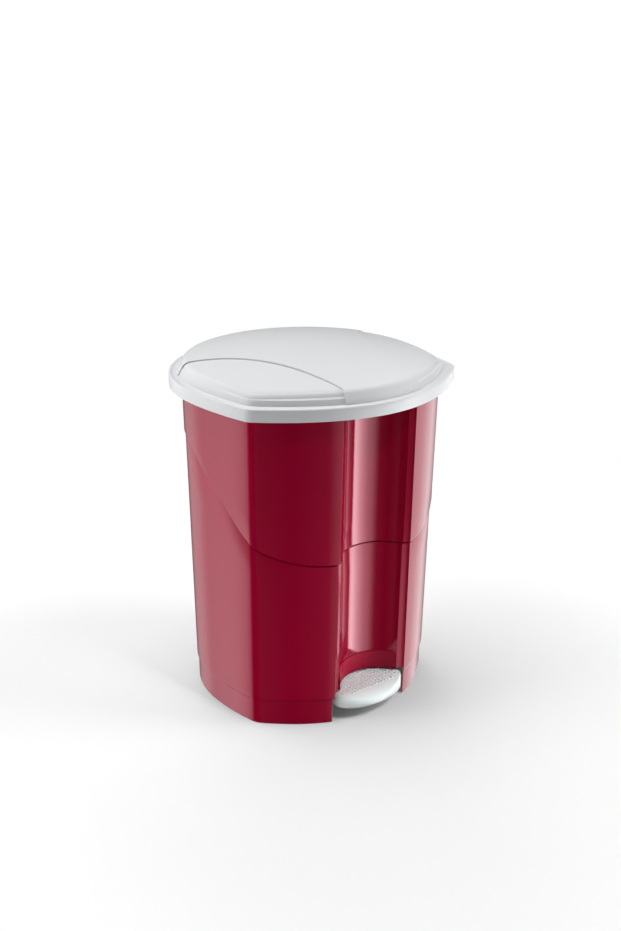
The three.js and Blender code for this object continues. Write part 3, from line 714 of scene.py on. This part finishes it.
def bucket_ear(build, side):
    """An ear beside the rim, which holds the end of the bail."""
    x = sorted((side * 111.3, side * 119.7))
    outline = [(-2, 341), (14, 341), (14, 356.5), (12.8, 359.3), (10, 361.5), (2, 361.5), (-0.8, 359.3),
               (-2, 356.5)]
    build.grid([[(at, y, z) for y, z in outline] for at in x], closed=True)
    for at, flip in ((x[0], True), (x[1], False)):
        build.fan([(at, y, z) for y, z in outline], (at, BUCKET_Y, 351), flip=flip)


def inner_bucket():
    build = Build()
    profile = [(BUCKET_BOTTOM, -3), (50.2, -0.9), (52.3, 0), (200, 0), (348.2, 0), (348.8, 3.2), (349.6, 3.4),
               (351.2, 3.4), (BUCKET_TOP, 2.6), (BUCKET_TOP, -1.6), (351.4, -2.2), (200, -2.2), (54.5, -2.2),
               (52, -3.4), (51.5, -5.2)]
    rows = [bucket_ring(z, d) for z, d in profile]
    build.grid(rows, closed=True)
    build.fan(rows[0], (0, BUCKET_Y, BUCKET_BOTTOM), flip=True)
    build.fan(rows[-1], (0, BUCKET_Y, 51.5))
    for side in (-1, 1):
        bucket_ear(build, side)
    return build


inner_bucket().done("inner_bucket_look", [grey_plastic], "bucket", ["inner_bucket"], GREY, bevel=0.5)


PIVOT_Z, BAIL_REACH, BAIL_RISE = 355.5, 94, 6.5


def grip():
    """The round grip on the bail, with five raised bands."""
    build = Build()
    y, z = BUCKET_Y - BAIL_REACH, PIVOT_Z + BAIL_RISE
    profile = [(-34, 2.6), (-34, 5.0), (-33.2, 5.7)]
    for x in (-24, -12, 0, 12, 24):
        profile += [(x - 5.0, 5.7), (x - 4.2, 6.3), (x - 3.4, 6.5)]
        profile += [(x + 3.4, 6.5), (x + 4.2, 6.3), (x + 5.0, 5.7)]
    profile += [(33.2, 5.7), (34, 5.0), (34, 2.6)]
    build.grid([ring_on_x(x, r, y, z) for x, r in profile], closed=True)
    return build


grip().done("bail_grip_look", [white_gloss], "bail", ["bail_grip"], WHITE, bevel=0)


def wire_object(name, points, radius, body, nodes):
    """Round wire through points in mm."""
    curve = bpy.data.curves.new(name, "CURVE")
    curve.dimensions = "3D"
    curve.bevel_depth = radius * MM
    curve.bevel_resolution = 5
    curve.use_fill_caps = True
    line = curve.splines.new("POLY")
    line.points.add(len(points) - 1)
    for spot, (x, y, z) in zip(line.points, points):
        spot.co = (x * MM, (y + SHIFT) * MM, z * MM, 1)
    line.use_smooth = True
    curve.materials.append(zinc)
    made = add_object(name, curve)
    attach(made, body)
    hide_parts(*nodes)


def cubic(points, t):
    return tuple((1 - t) ** 3 * a + 3 * (1 - t) ** 2 * t * b + 3 * (1 - t) * t * t * c + t ** 3 * d
                 for a, b, c, d in zip(*points))


def bail_points():
    """The bail's path from ear to ear: in through the ear, round a bend, and forward to the grip."""
    def at(x, forward):
        return (x, BUCKET_Y - forward, PIVOT_Z + BAIL_RISE * forward / BAIL_REACH)

    half = [at(112.5, 0), at(121.6, 0)]
    half += [bezier([at(121.6, 0), at(124.6, 0), at(124.6, 6)], t) for t in steps(0, 1, 8)]
    arm = [at(124.6, 6), at(124.6, 64), at(80, BAIL_REACH), at(38, BAIL_REACH)]
    half += [cubic(arm, t) for t in steps(0, 1, 40)]
    return [(-x, y, z) for x, y, z in half] + half[::-1]


WIRE_RADIUS = 1.95
wire_object("bail_handle_look", bail_points(), WIRE_RADIUS, "bail", ["bail_handle"])


def rod_points():
    """The push rod's path: straight up the back, a jog back, and straight up to its cap."""
    low, high = Vector((0, ROD_BACK, 248)), Vector((0, LIFT_Y, 290))
    ease, up = (high - low).normalized() * 10, Vector((0, 0, 10))
    points = [(0, ROD_BACK, 20.6)]
    for corner, before, after in ((low, up, ease), (high, ease, up)):
        bend = [tuple(corner - before), tuple(corner), tuple(corner + after)]
        points += [bend[0]] + [bezier(bend, t) for t in steps(0, 1, 8)]
    return points + [(0, LIFT_Y, 353.7)]


wire_object("push_rod_look", rod_points(), WIRE_RADIUS, "rod", ["push_rod"])


# ---- pieces whose CAD shape is already their look --------------------------------------------

SMALL = {
    white_gloss: (WHITE, ["hinge_bracket", "pedal_lever"], 0.6),
    grey_plastic: (GREY, ["rod_foot", "rod_cap", "rod_guide_lower", "rod_guide_upper", "hinge_pin_cap_left",
                          "hinge_pin_cap_right"], 0.3),
    zinc: (STEEL, ["hinge_pin", "pedal_axle", "bracket_screw_left", "bracket_screw_right", "axle_clip_left",
                   "axle_clip_right", "pedal_screw_front", "pedal_screw_back"], 0.2),
}

for look, (slot_name, names, width) in SMALL.items():
    for name in names:
        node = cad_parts[name]
        node.data.materials.clear()
        node.data.materials.append(look)
        for polygon in node.data.polygons:
            polygon.use_smooth = True
        soften(node, width)


# ---- floor and light -----------------------------------------------------------------------

PALE = (0.92, 0.92, 0.92)


def bounce_floor():
    """A pale sweep, flat under the bin and turning up far behind it, which only gives bounced light."""
    rows = []
    for k in range(25):
        t = k / 24
        if t < 0.5:
            rows.append((mix(-3, 2.2, t / 0.5), 0))
        else:
            a = (t - 0.5) / 0.5 * math.pi / 2
            rows.append((2.2 + 1.2 * math.sin(a), 1.2 * (1 - math.cos(a))))
    rows.append((3.4, 4))
    turn = math.radians(CAMERA_TURN)
    mesh = bmesh.new()
    edges = []
    for y, z in rows:
        edges.append([mesh.verts.new((x * math.cos(turn) - y * math.sin(turn),
                                      x * math.sin(turn) + y * math.cos(turn), z)) for x in (-4.5, 4.5)])
    for a, b in zip(edges, edges[1:]):
        face = mesh.faces.new((a[0], a[1], b[1], b[0]))
        face.smooth = True
    data = bpy.data.meshes.new("floor")
    mesh.to_mesh(data)
    mesh.free()
    data.materials.append(material("floor", PALE, 0.6))
    made = add_object("sweep", data)
    made.visible_camera = False
    made.visible_glossy = False
    made.visible_shadow = False


def floor_disk():
    """The pale floor the camera sees, which fades into the white round it."""
    mesh = bmesh.new()
    bmesh.ops.create_circle(mesh, cap_ends=True, segments=96, radius=1.3)
    data = bpy.data.meshes.new("floor")
    mesh.to_mesh(data)
    mesh.free()
    look = material("floor_disk", PALE, 0.6)
    nodes, links = look.node_tree.nodes, look.node_tree.links
    place = nodes.new("ShaderNodeTexCoord")
    distance = nodes.new("ShaderNodeVectorMath")
    distance.operation = "LENGTH"
    fade = nodes.new("ShaderNodeMapRange")
    fade.interpolation_type = "SMOOTHSTEP"
    for name, value in (("From Min", 0.3), ("From Max", 0.95), ("To Min", 1.0), ("To Max", 0.0)):
        fade.inputs[name].default_value = value
    links.new(place.outputs["Object"], distance.inputs[0])
    links.new(distance.outputs["Value"], fade.inputs["Value"])
    links.new(fade.outputs["Result"], nodes["Principled BSDF"].inputs["Alpha"])
    data.materials.append(look)
    made = add_object("floor", data)
    made.visible_diffuse = False
    made.visible_glossy = False
    made.visible_shadow = False


bounce_floor()
floor_disk()


def soft_light(name, place, aim, size, power, cone=180):
    """A soft light that neither the camera nor a reflection sees. cone is in degrees."""
    data = bpy.data.lights.new(name, "AREA")
    data.shape = "RECTANGLE"
    data.size, data.size_y = size
    data.energy = power
    data.spread = math.radians(cone)
    made = add_object(name, data)
    made.location = place
    made.rotation_euler = (Vector(aim) - Vector(place)).to_track_quat("-Z", "Y").to_euler()
    made.visible_camera = False
    made.visible_glossy = False


soft_light("over", (-0.1, 1.1, 2.7), (0, 0, 0.3), (3, 3), 106)
soft_light("left_fill", (-1.6, 0.7, 0.8), (0, 0, 0.2), (1.0, 1.2), 19)
soft_light("right_fill", (1.4, -1.2, 0.8), (0, 0, 0.2), (0.8, 1.2), 22)
soft_light("pedal_fill", (0.15, -0.95, 1.2), (0, -0.12, 0.03), (0.3, 0.3), 0.17, cone=20)

# brightness of the studio's cards by direction, in degrees anticlockwise from the right
CARDS = [(-180, 0.0), (-156, 0.0), (-150, 0.1), (-127, 0.0), (-115, 0.05), (-104, 0.1), (-98, 0.6),
         (-88, 1.8), (-76, 2.6), (-66, 3.8), (-55, 5.2), (-44, 7.0), (-38, 7.0), (-30, 4.0), (-20, 2.0),
         (-10, 1.5), (0, 1.4), (7, 1.5), (17, 1.5), (24, 0.9), (30, 0.4), (40, 0.2), (80, 0.2), (88, 0.5),
         (95, 0.7), (113, 1.1), (126, 1.1), (145, 1.8), (150, 1.7), (158, 0.8), (170, 0.1), (180, 0.0)]
WALL_RADIUS, WALL_COLUMNS = 1.2, 180
WALL_ROWS = ((-1.2, 1), (0.2, 1), (0.45, 0.15), (1.3, 0.15))  # height in m and share of the brightness


def brightness(angle):
    for (a, low), (b, high) in zip(CARDS, CARDS[1:]):
        if a <= angle <= b:
            return mix(low, high, (angle - a) / (b - a))
    return 0


def studio_wall():
    """A round wall of soft cards, which only reflections see."""
    mesh = bmesh.new()
    layer = mesh.verts.layers.float.new("glow")
    rings = []
    for z, share in WALL_ROWS:
        ring = []
        for k in range(WALL_COLUMNS):
            angle = -180 + 360 / WALL_COLUMNS * k
            turn = math.radians(angle)
            vert = mesh.verts.new((WALL_RADIUS * math.cos(turn), WALL_RADIUS * math.sin(turn), z))
            vert[layer] = brightness(angle) * share
            ring.append(vert)
        rings.append(ring)
    for below, above in zip(rings, rings[1:]):
        for k in range(WALL_COLUMNS):
            j = (k + 1) % WALL_COLUMNS
            mesh.faces.new((below[k], above[k], above[j], below[j]))
    data = bpy.data.meshes.new("studio_wall")
    mesh.to_mesh(data)
    mesh.free()
    look = bpy.data.materials.new("card")
    look.use_nodes = True
    nodes, links = look.node_tree.nodes, look.node_tree.links
    nodes.remove(nodes["Principled BSDF"])
    glow = nodes.new("ShaderNodeEmission")
    read = nodes.new("ShaderNodeAttribute")
    read.attribute_name = "glow"
    links.new(read.outputs["Fac"], glow.inputs["Strength"])
    links.new(glow.outputs["Emission"], nodes["Material Output"].inputs["Surface"])
    data.materials.append(look)
    made = add_object("studio_wall", data)
    made.visible_camera = False
    made.visible_diffuse = False
    made.visible_shadow = False
    made.visible_transmission = False


studio_wall()

world = bpy.data.worlds.new("world")
world.use_nodes = True
world.node_tree.nodes["Background"].inputs["Color"].default_value = (1, 1, 1, 1)
world.node_tree.nodes["Background"].inputs["Strength"].default_value = 1.0
world.cycles_visibility.diffuse = False
world.cycles_visibility.glossy = False
world.cycles_visibility.transmission = False
bpy.context.scene.world = world
